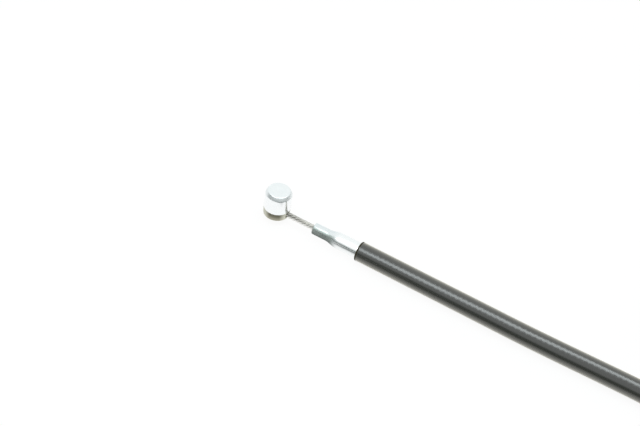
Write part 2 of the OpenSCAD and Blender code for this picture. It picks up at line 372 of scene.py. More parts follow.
mixed = add(tree, "ShaderNodeMixShader", links={"Fac": share, 1: card, 2: glow})
add(tree, "ShaderNodeOutputMaterial", links={"Surface": mixed})
table.data.materials.append(paper)
print("table at", TABLE_Z, "mm")

# %% World
world = bpy.data.worlds.new("light_tent")
scene.world = world
tree = empty_tree(world)
way = add(tree, "ShaderNodeTexCoord").outputs["Generated"]
# The dark band stands a little higher to the left, in -X.
height = add(tree, "ShaderNodeVectorMath", {"operation": "DOT_PRODUCT", 1: (0.12, 0, 1)}, {0: way})
tent = add(tree, "ShaderNodeMapRange",
           {"interpolation_type": "SMOOTHSTEP", "From Min": 0.16, "From Max": 0.46},
           {"Value": height})
# Behind the cable, in -X and +Y, a lit wall takes the band's place.
away = add(tree, "ShaderNodeVectorMath", {"operation": "DOT_PRODUCT", 1: (-0.77, 0.64, 0)},
           {0: way})
behind = add(tree, "ShaderNodeMapRange",
             {"interpolation_type": "SMOOTHSTEP", "From Min": 0.3, "From Max": 0.75},
             {"Value": away})
edge = add(tree, "ShaderNodeMix", {"data_type": "RGBA", A: linear("#6f7674"), B: linear("#fafeff")},
           {"Factor": behind})
rays = add(tree, "ShaderNodeLightPath").outputs
cloth = add(tree, "ShaderNodeMix",
            {"data_type": "RGBA", A: linear("#edf2f3"), B: linear("#fcfefe")},
            {"Factor": rays["Is Glossy Ray"]})
sky = add(tree, "ShaderNodeMix", {"data_type": "RGBA"}, {"Factor": tent, A: edge, B: cloth})
view = add(tree, "ShaderNodeMix", {"data_type": "RGBA", B: linear("#ffffff")},
           {"Factor": rays["Is Camera Ray"], A: sky})
back = add(tree, "ShaderNodeBackground", {"Strength": 1.0}, {"Color": view})
add(tree, "ShaderNodeOutputWorld", links={"Surface": back})
print("world:", world.name)

# %% Strip light
STRIP_ENDS = Vector((-0.23, -0.39, 0.5)), Vector((0.18, 0.19, 0.5))
STRIP_WIDTH = 0.14
STRIP_RADIANCE = 3.8  # how many times brighter it is than a white card
STRIP_WHITE = "#eff8fa"  # a daylight tube, a little cooler than the tent
run = STRIP_ENDS[1] - STRIP_ENDS[0]
light = bpy.data.lights.new("strip_light", "AREA")
light.shape = "RECTANGLE"
light.size, light.size_y = run.length, STRIP_WIDTH
light.energy = STRIP_RADIANCE * math.pi * light.size * light.size_y
light.color = linear(STRIP_WHITE)[:3]
lamp = bpy.data.objects.new("strip_light", light)
lamp.matrix_world = Matrix.Translation((STRIP_ENDS[0] + STRIP_ENDS[1]) / 2) @ Matrix(
    (run.normalized(), Vector((0, 0, 1)).cross(run.normalized()), (0, 0, 1))
).transposed().to_4x4()
scene.collection.objects.link(lamp)
print("strip light:", round(light.size, 3), "m long")

# %% [markdown]
# ## Finish of the jacket: black PVC, extruded
#
# Soft PVC leaves its die glossy, so the surface is near black with a clear, slightly blurred
# highlight. Dust and softener leave a pale haze on it, which shows most where the skin turns
# away, and the sheen stands for it. The tube is drawn tight over a wound steel conduit, whose
# winding shows through as a faint ripple. The ripple follows the UV map, so it bends with the
# cord. The orange peel of the skin is finer and has no direction, so it reads plain coordinates.

# %% Black PVC
WINDING_PITCH = 1.4  # mm, one turn of the steel winding under the jacket
pvc, tree, shader, here = new_finish(
    "black_pvc_extruded", IOR=1.52, Coat_Weight=1.0, Coat_Roughness=0.21, Coat_IOR=1.55,
    Sheen_Weight=1.0, Sheen_Roughness=0.48, Sheen_Tint=linear("#f2e8d0"),
)
place = add(tree, "ShaderNodeUVMap", {"uv_map": "surface"})
around, along = add(tree, "ShaderNodeSeparateXYZ", links={"Vector": place}).outputs[:2]
turns = add(tree, "ShaderNodeMath", {"operation": "MULTIPLY", 1: every(WINDING_PITCH)}, {0: along})
lean = add(tree, "ShaderNodeMath", {"operation": "DIVIDE", 1: ROUND}, {0: around})
phase = add(tree, "ShaderNodeMath", {"operation": "ADD"}, {0: turns, 1: lean})
phase = add(tree, "ShaderNodeMath", {"operation": "MULTIPLY", 1: math.tau}, {0: phase})
ripple = add(tree, "ShaderNodeMath", {"operation": "SINE"}, {0: phase})
ripple_bump = add(tree, "ShaderNodeBump", {"Strength": 1.0, "Distance": 0.008 * MM},
                  {"Height": ripple})
skin = add(tree, "ShaderNodeTexNoise", {"Scale": every(0.6), "Detail": 3, "Roughness": 0.6},
           {"Vector": here})
skin_bump = add(tree, "ShaderNodeBump", {"Strength": 1.0, "Distance": 0.0025 * MM},
                {"Height": skin, "Normal": ripple_bump})
smears = add(tree, "ShaderNodeTexNoise", {"Scale": every(4.0), "Detail": 2}, {"Vector": here})
gloss = add(tree, "ShaderNodeMapRange", {"To Min": 0.19, "To Max": 0.27}, {"Value": smears})
tone = add(tree, "ShaderNodeMix", {"data_type": "RGBA", A: linear("#050b0a"), B: linear("#0b1210")},
           {"Factor": smears})
connect(tree, shader, {"Base Color": tone, "Roughness": gloss, "Normal": skin_bump})
jacket.data.materials.append(pvc)
print("finish:", pvc.name)

# %% Sheared lip
# The lip was cut by a shear, so it is matt, and the filler makes it browner than the skin.
cut_pvc, tree, shader, here = new_finish(
    "black_pvc_sheared", Roughness=0.75, IOR=1.5, Specular_IOR_Level=0.15
)
grit = add(tree, "ShaderNodeTexNoise", {"Scale": every(0.2), "Detail": 4}, {"Vector": here})
tone = add(tree, "ShaderNodeMix", {"data_type": "RGBA", A: linear("#1c180a"), B: linear("#3d3618")},
           {"Factor": grit})
grit_bump = add(tree, "ShaderNodeBump", {"Distance": 0.02 * MM}, {"Height": grit})
connect(tree, shader, {"Base Color": tone, "Normal": grit_bump})
jacket.data.materials.append(cut_pvc)
for face in jacket.data.polygons:
    if face.center.x < (JACKET_START + CUT_BAND) * MM:
        face.material_index = 1
print("finish:", cut_pvc.name)

# %% [markdown]
# ## The stranded wire
#
# A brake wire is laid from seven strands, and the outer six wind round the middle one to the
# left, once in 6.5 mm. One strand is a circle swept along a spiral. The tree makes one and turns
# copies of it about the axis, and the same tree later winds the adjuster's thread.

# %% Tree that winds rods round a core
WINDING_INPUTS = {
    "Start": ("NodeSocketVector", (0, 0, 0)),
    "Length": ("NodeSocketFloat", 0.05),
    "Lay": ("NodeSocketFloat", 0.0065),
    "Rods": ("NodeSocketInt", 6),
    "Rod radius": ("NodeSocketFloat", 0.00025),
    "Rod sides": ("NodeSocketInt", 8),
    "Circle radius": ("NodeSocketFloat", 0.0005),
    "Points per turn": ("NodeSocketInt", 28),
    "Core radius": ("NodeSocketFloat", 0.0005),
    "Right hand": ("NodeSocketBool", False),  # a spiral climbs to the left unless reversed
    "Smooth": ("NodeSocketBool", True),
    "Finish": ("NodeSocketMaterial", None),
}
winding = bpy.data.node_groups.new("rods_wound_on_a_core", "GeometryNodeTree")
winding.interface.new_socket("Geometry", in_out="OUTPUT", socket_type="NodeSocketGeometry")
winding_ids = {}
for name, (kind, value) in WINDING_INPUTS.items():
    socket = winding.interface.new_socket(name, in_out="INPUT", socket_type=kind)
    winding_ids[name] = socket.identifier
    if value is not None:
        socket.default_value = value
given = add(winding, "NodeGroupInput").outputs
turns = add(winding, "ShaderNodeMath", {"operation": "DIVIDE"},
            {0: given["Length"], 1: given["Lay"]})
spiral = add(winding, "GeometryNodeCurveSpiral", links={
    "Resolution": given["Points per turn"], "Rotations": turns, "Height": given["Length"],
    "Start Radius": given["Circle radius"], "End Radius": given["Circle radius"],
    "Reverse": given["Right hand"],
})
spiral = add(winding, "GeometryNodeSetCurveNormal", {"mode": "Z_UP"}, {"Curve": spiral})
section = add(winding, "GeometryNodeCurvePrimitiveCircle",
              links={"Resolution": given["Rod sides"], "Radius": given["Rod radius"]})
rod = add(winding, "GeometryNodeCurveToMesh", {"Fill Caps": True},
          {"Curve": spiral, "Profile Curve": section})
spots = add(winding, "GeometryNodePoints", {"Radius": 0}, {"Count": given["Rods"]})
index = add(winding, "GeometryNodeInputIndex")
share = add(winding, "ShaderNodeMath", {"operation": "DIVIDE"}, {0: index, 1: given["Rods"]})
angle = add(winding, "ShaderNodeMath", {"operation": "MULTIPLY", 1: math.tau}, {0: share})
turned = add(winding, "ShaderNodeCombineXYZ", links={"Z": angle})
copies = add(winding, "GeometryNodeInstanceOnPoints",
             links={"Points": spots, "Instance": rod, "Rotation": turned})
core = add(winding, "GeometryNodeMeshCylinder", {"Vertices": 32},
           {"Radius": given["Core radius"], "Depth": given["Length"]})
half = add(winding, "ShaderNodeMath", {"operation": "MULTIPLY", 1: 0.5}, {0: given["Length"]})
middle = add(winding, "ShaderNodeCombineXYZ", links={"Z": half})
core = add(winding, "GeometryNodeTransform", links={"Geometry": core, "Translation": middle})
both = add(winding, "GeometryNodeJoinGeometry")
for part in (core, copies):
    connect(winding, both, {0: part})
laid = add(winding, "GeometryNodeTransform", {"Rotation": (0, math.pi / 2, 0)},
           {"Geometry": both, "Translation": given["Start"]})
real = add(winding, "GeometryNodeRealizeInstances", links={"Geometry": laid})
real = add(winding, "GeometryNodeSetShadeSmooth",
           links={"Geometry": real, "Shade Smooth": given["Smooth"]})
real = add(winding, "GeometryNodeSetMaterial",
           links={"Geometry": real, "Material": given["Finish"]})
add(winding, "NodeGroupOutput", links={"Geometry": real})


def to_plain_mesh(obj):
    """Replaces an object's modifiers by their result."""
    seen = obj.evaluated_get(bpy.context.evaluated_depsgraph_get())
    mesh = bpy.data.meshes.new_from_object(seen)
    obj.modifiers.clear()
    obj.data = mesh
    mesh.name = obj.name
    return obj


def wind(name, **values):
    """A plain mesh wound by the tree. Sizes are in metres."""
    obj = make_object(name, [], [])
    modifier = obj.modifiers.new("winding", "NODES")
    modifier.node_group = winding
    for key, value in values.items():
        modifier[winding_ids[key.replace("_", " ")]] = value
    return to_plain_mesh(obj)


print("winding tree:", len(winding.nodes), "nodes")

# %% [markdown]
# ## Finish of the wire: galvanised steel, drawn
#
# Each strand was drawn through dies and zinc dipped, so it is a warm grey metal with fine lines
# along it, duller between the strands where grease and dust stay.

# %% Galvanised wire
wire_steel, tree, shader, here = new_finish("galvanised_steel_drawn", Metallic=1.0)
stretch = add(tree, "ShaderNodeMapping", {"Scale": (0.15, 1, 1)}, {"Vector": here})
lines = add(tree, "ShaderNodeTexNoise", {"Scale": every(0.12), "Detail": 4}, {"Vector": stretch})
# The lower front side is painted near white and is smoother: the colour is a painted reflection of
# the bright table below. The rest is a dull grey, darker towards the nipple.
from_axis = add(tree, "ShaderNodeVectorMath", {"operation": "SUBTRACT", 1: (0, 0, WIRE_Z * MM)},
                {0: here})
lower = add(tree, "ShaderNodeVectorMath", {"operation": "DOT_PRODUCT", 1: (0, -0.71, -0.71)},
            {0: from_axis})
painted_bright_side = add(tree, "ShaderNodeMapRange",
             {"interpolation_type": "SMOOTHSTEP", "From Min": 0.0, "From Max": 0.45 * MM},
             {"Value": lower})
x = add(tree, "ShaderNodeSeparateXYZ", links={"Vector": here}).outputs["X"]
lighter_to_ferrule = add(tree, "ShaderNodeMapRange", {"From Min": 4.5 * MM, "From Max": 10 * MM}, {"Value": x})
lighter_to_ferrule = add(tree, "ShaderNodeMath", {"operation": "MULTIPLY_ADD", 1: 0.35}, {0: lines, 2: lighter_to_ferrule})
greased = add(tree, "ShaderNodeMix",
              {"data_type": "RGBA", A: linear("#989690"), B: linear("#c2c0ba")},
              {"Factor": lighter_to_ferrule})
# painted reflection: the lower front side turns near white
tone = add(tree, "ShaderNodeMix", {"data_type": "RGBA", B: linear("#f8f7f4")},
           {"Factor": painted_bright_side, A: greased})
rough = add(tree, "ShaderNodeMapRange", {"To Min": 0.36, "To Max": 0.52}, {"Value": lines})
rough = add(tree, "ShaderNodeMath", {"operation": "MULTIPLY_ADD", 1: -0.15}, {0: painted_bright_side, 2: rough})
fine = add(tree, "ShaderNodeBump", {"Strength": 0.5, "Distance": 0.004 * MM}, {"Height": lines})
connect(tree, shader, {"Base Color": tone, "Roughness": rough, "Normal": fine})
print("finish:", wire_steel.name)

# %% Wind both ends of the wire
REAR_Y, REAR_Z = 2.5, 4.5  # the axis of all that sits on the far end
FRONT_WIRE, REAR_WIRE = (-2.2, 52.45), (160.05, 215.15)  # from and to, along X
WIRE_R, STRAND_R, LAY = 0.75, 0.25, 6.5
CORE_R = 0.58  # a little more than the middle strand's, so that no gap shows between the rods


def dress(piece, finish, body, node):
    """Gives a piece its finish and the body it rides on, in place of a CAD node."""
    if finish.name not in piece.data.materials:
        piece.data.materials.append(finish)
    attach(piece, body)
    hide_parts(node)
    print(f"{piece.name}: {len(piece.data.polygons)} faces, rides on {body}")


for name, span, y, z, node, body in (
    ("front_wire_rope", FRONT_WIRE, 0, WIRE_Z, "front_wire", "front_cable_end"),
    ("rear_wire_rope", REAR_WIRE, REAR_Y, REAR_Z, "rear_wire", "rear_cable_end"),
):
    rope = wind(
        name, Start=(span[0] * MM, y * MM, z * MM), Length=(span[1] - span[0]) * MM, Lay=LAY * MM,
        Rods=6, Rod_radius=STRAND_R * MM, Rod_sides=12, Circle_radius=(WIRE_R - STRAND_R) * MM,
        Points_per_turn=28, Core_radius=CORE_R * MM, Right_hand=False, Smooth=True,
        Finish=wire_steel,
    )
    dress(rope, wire_steel, body, node)

# %% [markdown]
# ## Turned shapes
#
# The nipples, ferrules, washers, nuts and the adjuster are all turned about an axis. One function
# spins a profile: a list of corners, each with a small radius, because a real edge is never
# perfectly sharp and the rounding is what catches the light. An outline may trim the spun
# shape, which gives a nut its flats and the adjuster's head its flutes.

# %% Turning
CORNER_STEPS = 4
ON_AXIS = 1e-6  # a smaller radius is a point on the axis
REACH = 0.49  # a rounding takes less than half of each side next to it


def softened(corners):
    """Rounds a closed profile's corners: each is (along, radius) or (along, radius, rounding)."""
    points = []
    for i, corner in enumerate(corners):
        tip = Vector(corner[:2])
        rounding = corner[2] if len(corner) > 2 else 0
        if not rounding:
            points.append(tip)
            continue
        before = Vector(corners[i - 1][:2]) - tip
        after = Vector(corners[(i + 1) % len(corners)][:2]) - tip
        reach = min(rounding, REACH * before.length, REACH * after.length)
        a, b = tip + reach * before.normalized(), tip + reach * after.normalized()
        for k in range(CORNER_STEPS + 1):
            t = k / CORNER_STEPS
            points.append((1 - t) ** 2 * a + 2 * t * (1 - t) * tip + t**2 * b)
    return points


def turn(name, corners, y=0.0, z=0.0, sides=96, outline=None, upright=False):
    """Spins a closed profile about a line along X, or about Z if upright. Sizes are in mm."""
    rows, vertices, faces = [], [], []
    profile = softened(corners)
    for along, radius in profile:
        if radius < ON_AXIS:
            ring = [len(vertices)] * sides
            vertices.append((0, 0, along) if upright else (along, y, z))
        else:
            ring = list(range(len(vertices), len(vertices) + sides))
            for k in range(sides):
                angle = math.tau * k / sides
                r = min(radius, outline(angle)) if outline else radius
                c, s = r * math.cos(angle), r * math.sin(angle)
                vertices.append((c, s, along) if upright else (along, y + c, z + s))
        rows.append(ring)
    closing = rows[:1] if profile[0][1] > ON_AXIS else []
    for low, high in zip(rows, rows[1:] + closing):
        for k in range(sides):
            n = (k + 1) % sides
            face = list(dict.fromkeys((low[k], low[n], high[n], high[k])))
            if len(face) > 2:
                faces.append(face)
    return settle_shading(make_object(name, [Vector(v) * MM for v in vertices], faces))


print("turning ready")

# %% [markdown]
# ## The barrel nipple: zinc alloy, die cast and tumbled
#
# The nipple is cast straight onto the wire's end and then tumbled bright. The bevel round the top
# is rougher, and painted a little darker as painted shade. The foot below the parting line is
# rougher, darker and warm in tint, darkest just below the parting line and lighter towards the
# bottom, and painted lighter on its two sides as a painted reflection. The zones follow height on
# the piece.

# %% Die-cast zinc
zinc, tree, shader, here = new_finish("zinc_alloy_die_cast", Metallic=1.0)
grain = add(tree, "ShaderNodeTexNoise", {"Scale": every(0.25), "Detail": 4, "Roughness": 0.6},
            {"Vector": here})
flow = add(tree, "ShaderNodeTexNoise", {"Scale": every(1.6), "Detail": 2}, {"Vector": here})
bright = add(tree, "ShaderNodeMix",
             {"data_type": "RGBA", A: linear("#f6fafb"), B: linear("#fdfefe")}, {"Factor": flow})
z = add(tree, "ShaderNodeSeparateXYZ", links={"Vector": here}).outputs["Z"]
foot = add(tree, "ShaderNodeMapRange", {"From Min": 2.10 * MM, "From Max": 2.04 * MM}, {"Value": z})
low = add(tree, "ShaderNodeMapRange", {"From Min": 0.1 * MM, "From Max": 1.5 * MM}, {"Value": z})
dull = add(tree, "ShaderNodeMix", {"data_type": "RGBA", A: linear("#b3b09f"), B: linear("#716f5f")},
           {"Factor": low})
# The foot is painted lighter on its two sides across the camera's view, a painted reflection of the
# bright surroundings there.
across = add(tree, "ShaderNodeVectorMath", {"operation": "DOT_PRODUCT", 1: (0.916, 0.4, 0)},
             {0: here})
off_middle = add(tree, "ShaderNodeMath", {"operation": "ADD", 1: 0.2 * MM}, {0: across})
off_middle = add(tree, "ShaderNodeMath", {"operation": "ABSOLUTE"}, {0: off_middle})
painted_bright_side = add(tree, "ShaderNodeMapRange",
             {"From Min": 1.3 * MM, "From Max": 2.4 * MM, "To Max": 0.75}, {"Value": off_middle})
foot_tone = add(tree, "ShaderNodeMix", {"data_type": "RGBA", B: linear("#dcdccd")},
                {"Factor": painted_bright_side, A: dull})
# The bevel is rougher, and its colour is painted a little darker, as painted shade.
rim = add(tree, "ShaderNodeMapRange", {"From Min": 6.38 * MM, "From Max": 6.44 * MM}, {"Value": z})
crown = add(tree, "ShaderNodeMix",
            {"data_type": "RGBA", "blend_type": "MULTIPLY", B: linear("#f4f6f6")},
            {"Factor": rim, A: bright})
tone = add(tree, "ShaderNodeMix", {"data_type": "RGBA"}, {"Factor": foot, A: crown, B: foot_tone})
rough = add(tree, "ShaderNodeMapRange", {"To Min": 0.12, "To Max": 0.22}, {"Value": grain})
rougher = add(tree, "ShaderNodeMath", {"operation": "MULTIPLY_ADD", 1: 0.25}, {0: foot, 2: rough})
rougher = add(tree, "ShaderNodeMath", {"operation": "MULTIPLY_ADD", 1: 0.2}, {0: rim, 2: rougher})
cast_bump = add(tree, "ShaderNodeBump", {"Strength": 0.7, "Distance": 0.008 * MM},
                {"Height": grain})
connect(tree, shader, {"Base Color": tone, "Roughness": rougher, "Normal": cast_bump})
print("finish:", zinc.name)

# %% Front nipple
NIPPLE_R, NIPPLE_H = 3.4, 7.4
WIRE_HOLE_R = 0.77


def cut_away(piece, tool):
    """Cuts a tool's shape out of a piece, and removes the tool."""
    cut = piece.modifiers.new("cut", "BOOLEAN")
    cut.object, cut.operation, cut.solver = tool, "DIFFERENCE", "EXACT"
    to_plain_mesh(piece)
    bpy.data.objects.remove(tool)
    settle_shading(piece)


front_nipple = turn("front_nipple_cast", [
    (0, 0), (0, 3.3, 0.15), (2.0, NIPPLE_R, 0.03), (2.05, 3.3, 0.03), (2.1, NIPPLE_R, 0.03),
    (6.4, NIPPLE_R, 0.12), (NIPPLE_H, 2.85, 0.12), (NIPPLE_H, 1.0, 0.3), (7.35, 0.4, 0.2),
    (7.35, 0),
], upright=True, sides=128)
cut_away(front_nipple, turn("wire_drill", [
    (-2.2, 0), (-2.2, WIRE_HOLE_R), (2.95, WIRE_HOLE_R), (3.5, 1.15), (3.5, 0),
], z=WIRE_Z, sides=48))
dress(front_nipple, zinc, "front_cable_end", "front_nipple")

# %% [markdown]
# ## The stepped ferrule: steel, drawn and zinc plated
#
# The ferrule is one tube drawn down in steps: a narrow tip that rests in the lever, a cone, a
# sleeve, and a skirt inside the jacket that takes the conduit. The drawing leaves faint rings
# round it, and the plating is cool and bright.

# %% Plated steel
plated, tree, shader, here = new_finish("steel_drawn_zinc_plated", Metallic=1.0)
squeeze = add(tree, "ShaderNodeMapping", {"Scale": (1, 0.08, 0.08)}, {"Vector": here})
drawing_rings = add(tree, "ShaderNodeTexNoise", {"Scale": every(0.22), "Detail": 3},
                    {"Vector": squeeze})
cloud = add(tree, "ShaderNodeTexNoise", {"Scale": every(2.0), "Detail": 3}, {"Vector": here})
tone = add(tree, "ShaderNodeMix", {"data_type": "RGBA", A: linear("#f2f6f6"), B: linear("#fcfdfd")},
           {"Factor": cloud})
rough = add(tree, "ShaderNodeMapRange", {"To Min": 0.16, "To Max": 0.28}, {"Value": drawing_rings})
ring_bump = add(tree, "ShaderNodeBump", {"Strength": 0.6, "Distance": 0.004 * MM},
                {"Height": drawing_rings})
# The tip is a little darker all round, fading towards the cone. On its side that faces -Y and a
# little up lies a rougher patch of painted shade, which also fades towards the cone.
spot = add(tree, "ShaderNodeSeparateXYZ", links={"Vector": here}).outputs
outward = add(tree, "ShaderNodeVectorMath",
              {"operation": "MULTIPLY_ADD", 1: (0, 1, 1), 2: (0, 0, -WIRE_Z * MM)}, {0: here})
outward = add(tree, "ShaderNodeVectorMath", {"operation": "NORMALIZE"}, {0: outward})
side_on = add(tree, "ShaderNodeVectorMath", {"operation": "DOT_PRODUCT", 1: (0, -0.995, 0.1)},
              {0: outward})
ragged = add(tree, "ShaderNodeMath", {"operation": "MULTIPLY_ADD", 1: -0.27},
             {0: cloud, 2: side_on})
facing = add(tree, "ShaderNodeMapRange",
             {"interpolation_type": "SMOOTHSTEP", "From Min": 0.34, "From Max": 0.58},
             {"Value": ragged})
fading = add(tree, "ShaderNodeMapRange",
             {"interpolation_type": "SMOOTHSTEP", "From Min": 18.8 * MM, "From Max": 16.2 * MM},
             {"Value": spot["X"]})
painted_shade_patch = add(tree, "ShaderNodeMath", {"operation": "MULTIPLY"}, {0: facing, 1: fading})
darker_tip = add(tree, "ShaderNodeMix",
              {"data_type": "RGBA", "blend_type": "MULTIPLY", B: linear("#eef2f3")},
              {"Factor": fading, A: tone})
# The painted shade is darkest at the patch's lower edge, and flecked.
painted_lower_shade = add(tree, "ShaderNodeMapRange", {"From Min": 2.1 * MM, "From Max": 0.4 * MM},
            {"Value": spot["Z"]})
fleck = add(tree, "ShaderNodeTexNoise", {"Scale": every(0.35), "Detail": 3}, {"Vector": here})
fleck = add(tree, "ShaderNodeMapRange", {"To Min": -0.35, "To Max": 0.35}, {"Value": fleck})
painted_lower_shade = add(tree, "ShaderNodeMath", {"operation": "ADD", "use_clamp": True}, {0: painted_lower_shade, 1: fleck})
painted_shade_colour = add(tree, "ShaderNodeMix",
              {"data_type": "RGBA", A: linear("#b0b9b5"), B: linear("#59615d")}, {"Factor": painted_lower_shade})
painted_shade_tone = add(tree, "ShaderNodeMix", {"data_type": "RGBA"},
                {"Factor": painted_shade_patch, A: darker_tip, B: painted_shade_colour})
shade_patch_rough = add(tree, "ShaderNodeMath", {"operation": "MULTIPLY_ADD", 1: 0.22},
                 {0: painted_shade_patch, 2: rough})
connect(tree, shader, {"Base Color": painted_shade_tone, "Roughness": shade_patch_rough, "Normal": ring_bump})
print("finish:", plated.name)

# %% Front ferrule
FERRULE_BORE_R = 0.85
front_ferrule = turn("front_ferrule_drawn", [
    (11.1, FERRULE_BORE_R, 0.1), (11.1, 1.5, 0.2), (15.5, 1.5, 0.6), (17.8, 2.05, 0.6),
    (23.95, 2.05), (23.95, 2.0), (31.9, 2.0, 0.1), (31.9, CONDUIT_BORE_R), (19.3, CONDUIT_BORE_R),
    (19.3, FERRULE_BORE_R),
], z=WIRE_Z)
dress(front_ferrule, plated, "housing", "front_ferrule")

# %% [markdown]
# ## The far end: cap, adjuster, lock nuts, washers and end nipple
#
# The capped conduit turns in the adjuster's socket. The adjuster is a hollow M6 screw with a
# fluted head, and two nuts with their washers clamp it to a bracket.

# %% Rear cap
CAP_R, GROOVE_R, CAP_BORE_R = 3.1, 2.88, 2.52
rear_cap = turn("rear_cap_drawn", [
    (148.3, CAP_BORE_R, 0.1), (148.3, CAP_R, 0.4), (149.7, CAP_R, 0.2), (149.95, GROOVE_R, 0.2),
    (150.75, GROOVE_R, 0.2), (151.0, CAP_R, 0.2), (151.7, CAP_R, 0.2), (151.95, GROOVE_R, 0.2),
    (152.75, GROOVE_R, 0.2), (153.0, CAP_R, 0.2), (160.3, CAP_R, 0.4), (160.3, FERRULE_BORE_R, 0.1),
    (158.3, FERRULE_BORE_R), (158.3, CAP_BORE_R),
], REAR_Y, REAR_Z)
dress(rear_cap, plated, "housing", "rear_ferrule")

# %% Zinc-plated turned steel, for the adjuster, nuts and washers
# Turning leaves fine marks round the axis, and the plating over them is cool and a little cloudy.
hardware, tree, shader, here = new_finish("steel_turned_zinc_plated", Metallic=1.0)
squeeze = add(tree, "ShaderNodeMapping", {"Scale": (1, 0.1, 0.1)}, {"Vector": here})
tool_marks = add(tree, "ShaderNodeTexNoise", {"Scale": every(0.15), "Detail": 3},
                 {"Vector": squeeze})
cloud = add(tree, "ShaderNodeTexNoise", {"Scale": every(2.5), "Detail": 3}, {"Vector": here})
tone = add(tree, "ShaderNodeMix", {"data_type": "RGBA", A: linear("#b4bcc2"), B: linear("#d5dadb")},
           {"Factor": cloud})
rough = add(tree, "ShaderNodeMapRange", {"To Min": 0.2, "To Max": 0.36}, {"Value": tool_marks})
mark_bump = add(tree, "ShaderNodeBump", {"Strength": 0.7, "Distance": 0.006 * MM},
                {"Height": tool_marks})
connect(tree, shader, {"Base Color": tone, "Roughness": rough, "Normal": mark_bump})
print("finish:", hardware.name)

# %% Adjuster
HEAD_R, FLUTE_R, FLUTES = 4.5, 0.45, 18
SOCKET_R, SCREW_BORE_R = 3.18, 1.2  # for the capped conduit, and for the wire
ROOT_R, THREAD_DEPTH, PITCH = 2.5, 0.5, 1.0
THREAD_START, THREAD_LENGTH = 163.2, 26.4


def fluted(angle):
    """Radius of the fluted head at an angle."""
    off = (angle + math.pi / FLUTES) % (math.tau / FLUTES) - math.pi / FLUTES
    across = HEAD_R * math.sin(off)
    if abs(across) >= FLUTE_R:
        return HEAD_R
    return HEAD_R * math.cos(off) - math.sqrt(FLUTE_R**2 - across**2)


def join(*pieces):
    """Joins the pieces into the first one."""
    with bpy.context.temp_override(
        active_object=pieces[0], selected_editable_objects=list(pieces)
    ):
        bpy.ops.object.join()


head = turn("adjuster", [
    (154.35, SOCKET_R, 0.15), (154.35, 4.0, 0.1), (154.85, HEAD_R, 0.2), (161.85, HEAD_R, 0.2),
    (162.35, 4.0, 0.1), (162.35, SCREW_BORE_R), (160.35, SCREW_BORE_R), (160.35, SOCKET_R),
], REAR_Y, REAR_Z, sides=216, outline=fluted)
shank = turn("shank", [
    (162.3, SCREW_BORE_R), (162.3, 2.6), (THREAD_START, 2.6), (163.4, ROOT_R), (189.75, ROOT_R),
    (190.35, 2.1, 0.1), (190.35, SCREW_BORE_R),
], REAR_Y, REAR_Z)
thread = wind(
    "thread", Start=(THREAD_START * MM, REAR_Y * MM, REAR_Z * MM), Length=THREAD_LENGTH * MM,
    Lay=PITCH * MM, Rods=1, Rod_radius=THREAD_DEPTH * MM, Rod_sides=4, Circle_radius=ROOT_R * MM,
    Points_per_turn=48, Core_radius=0.0, Right_hand=True, Smooth=False, Finish=hardware,
)
for piece in (head, shank):
    piece.data.materials.append(hardware)
join(head, shank, thread)
dress(head, hardware, "adjuster", "adjuster_screw")

# %% Nuts, washers and end nipple
NUT_FLAT = 5  # half the size across the flats
NUT_R = NUT_FLAT / math.cos(math.pi / 6)
NUT_BORE_R, NUT_H, NUT_BEVEL = 3.06, 3.2, 0.45
WASHER_BORE_R, WASHER_R, WASHER_H = 3.2, 6, 1.6


def hexagon(angle):
    """Radius of the nut at an angle, with a flat straight up."""
    return NUT_FLAT / math.cos(angle % (math.pi / 3) - math.pi / 6)


for which, nut_x, washer_x in (("inner", 165.35, 168.6), ("outer", 174.85, 173.2)):
    nut_end, washer_end = nut_x + NUT_H, washer_x + WASHER_H
    nut = turn(f"{which}_nut_formed", [
        (nut_x, NUT_BORE_R), (nut_x, NUT_R - NUT_BEVEL, 0.05), (nut_x + NUT_BEVEL, NUT_R, 0.05),
        (nut_end - NUT_BEVEL, NUT_R, 0.05), (nut_end, NUT_R - NUT_BEVEL, 0.05),
        (nut_end, NUT_BORE_R),
    ], REAR_Y, REAR_Z, sides=192, outline=hexagon)
    dress(nut, hardware, f"{which}_nut_body", f"{which}_lock_nut")
    washer = turn(f"{which}_washer_punched", [
        (washer_x, WASHER_BORE_R, 0.1), (washer_x, WASHER_R, 0.25), (washer_end, WASHER_R, 0.15),
        (washer_end, WASHER_BORE_R, 0.1),
    ], REAR_Y, REAR_Z, sides=128)
    dress(washer, hardware, f"{which}_washer_body", f"{which}_washer")
rear_nipple = turn("rear_nipple_cast", [
    (208.35, WIRE_HOLE_R, 0.1), (208.35, 2.75, 0.6), (216.35, 2.75, 0.6), (216.35, 0),
    (215.15, 0), (215.15, WIRE_HOLE_R),
], REAR_Y, REAR_Z)
dress(rear_nipple, zinc, "rear_cable_end", "rear_nipple")

# %% [markdown]
# ## The coil tie: nylon, injection moulded
#
# One strap goes round both turns of the coil and locks in its own head. The strap is a rounded
# ribbon that follows the outline of two circles side by side. The lock is a rounded box with a
# slot through it, and the strap's tail lies in the slot. Nylon is matt and slightly uneven.

# %% Coil tie
TIE_X, TIE_Y, TIE_Z = 148, (26.0, 29.0), WIRE_Z + STRAP
TIE_POINTS = 120
STRAP_ROUNDING = 0.18


def tie_path():
    """Points round two touching circles, with the outward direction at each."""
    points = []
    straight, arc = 2 * JACKET_R, math.pi * JACKET_R
    for i in range(TIE_POINTS // 2):
        run = (straight + arc) * i / (TIE_POINTS // 2)
        if run < straight:
            points.append((JACKET_R - run, JACKET_R, 0.0, 1.0))
        else:
            angle = math.pi / 2 + (run - straight) / JACKET_R
            nx, nz = math.cos(angle), math.sin(angle)
            points.append((JACKET_R * (nx - 1), JACKET_R * nz, nx, nz))
    return points + [tuple(-c for c in point) for point in points]


